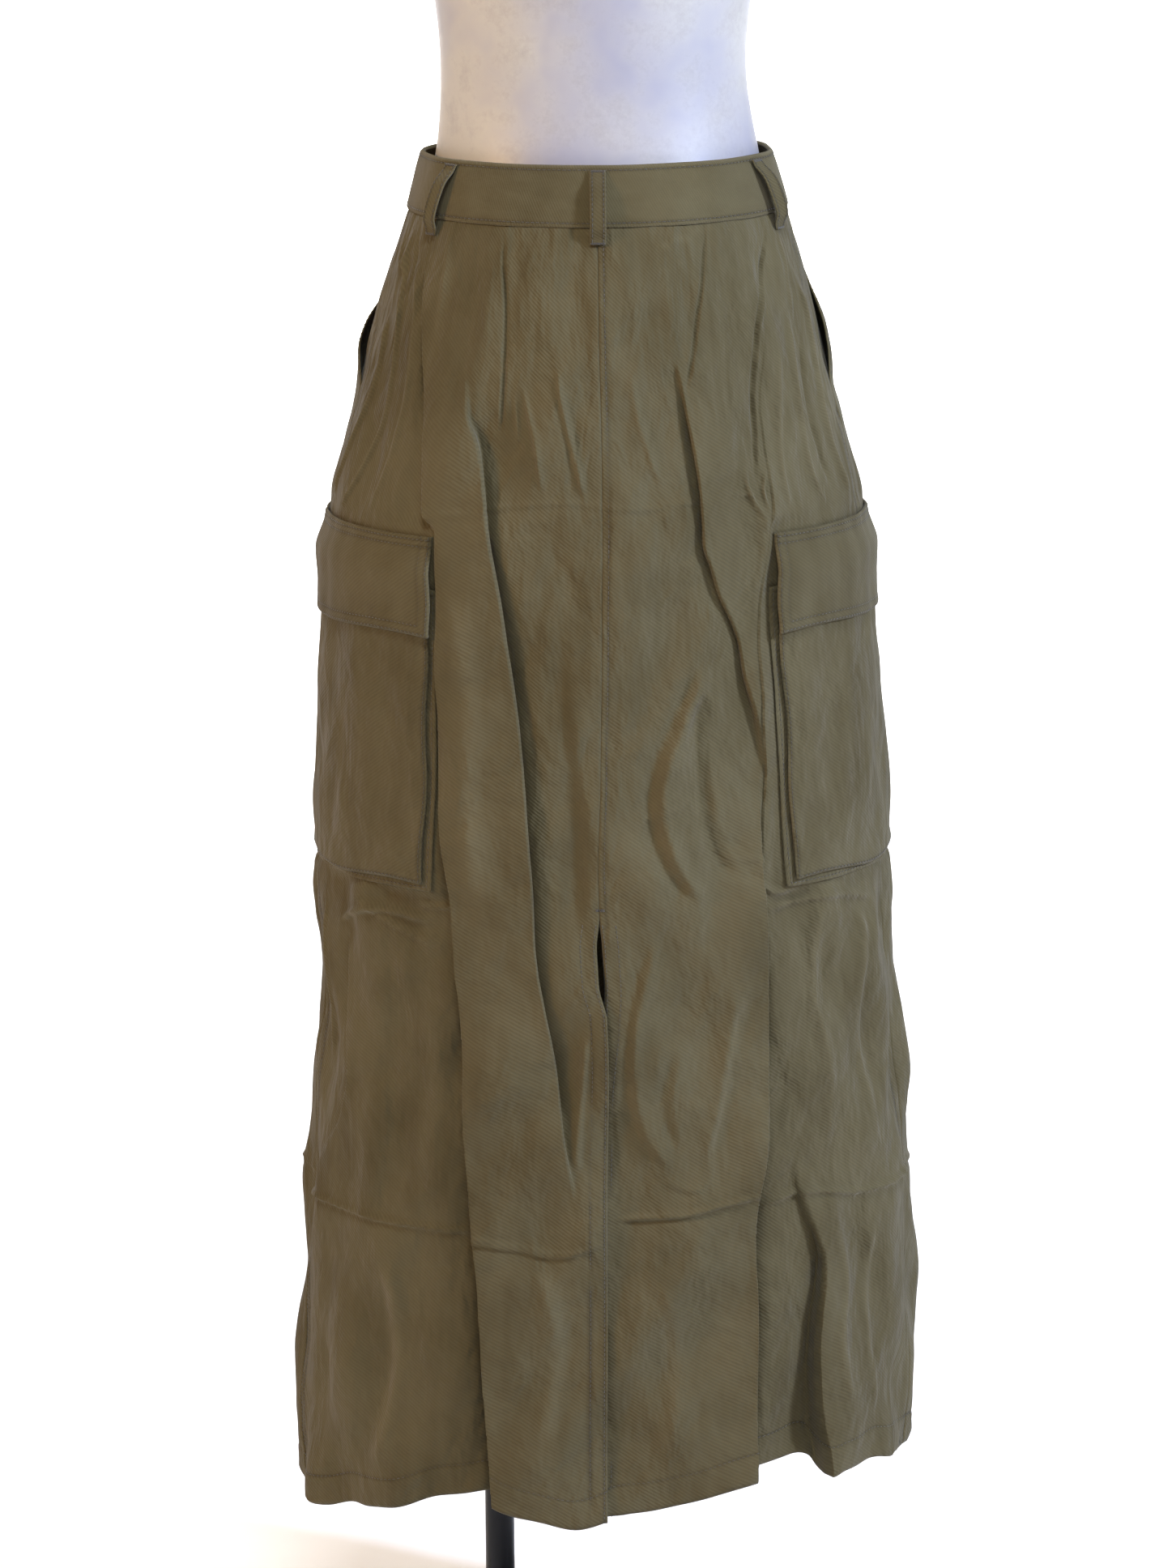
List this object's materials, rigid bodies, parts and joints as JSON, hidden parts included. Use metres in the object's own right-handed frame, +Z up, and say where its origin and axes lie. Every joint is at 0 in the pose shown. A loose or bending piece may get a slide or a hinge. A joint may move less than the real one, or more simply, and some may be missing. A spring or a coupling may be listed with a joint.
{
  "type": "cargo utility skirt on a limbless dress form and stand",
  "caption": "Long woven utility skirt with flap cargo pockets, slanted hand pockets, belt loops and a back slit, worn on a smooth limbless dress form on a pole and round base.",
  "frame": {"origin": "centre of the base plate's underside", "axes": "+Z up along the stand, -Y out of the skirt's back, -X towards the wearer's left"},
  "size_m": [0.421, 0.34, 1.575],
  "materials": {
    "olive_twill": "matt washed cotton twill",
    "horn_button": "satin",
    "pearl_gloss": "soft gloss",
    "black_steel": "black gloss paint"
  },
  "bodies": {
    "root": {"back_panel_left": "olive_twill", "back_panel_right": "olive_twill", "front_panel_left": "olive_twill", "front_panel_right": "olive_twill", "pocket_facing_left": "olive_twill", "pocket_facing_right": "olive_twill", "waistband": "olive_twill", "belt_loop_back_centre": "olive_twill", "belt_loop_back_left": "olive_twill", "belt_loop_back_right": "olive_twill", "belt_loop_front_left": "olive_twill", "belt_loop_front_right": "olive_twill", "cargo_pocket_left": "olive_twill", "cargo_pocket_right": "olive_twill", "cargo_gusset_left": "olive_twill", "cargo_gusset_right": "olive_twill", "cargo_flap_left": "olive_twill", "cargo_flap_right": "olive_twill", "waist_button": "horn_button", "dress_form": "pearl_gloss", "form_socket": "black_steel", "stand_pole": "black_steel", "base_collar": "black_steel", "base_plate": "black_steel"}
  },
  "joints": []
}
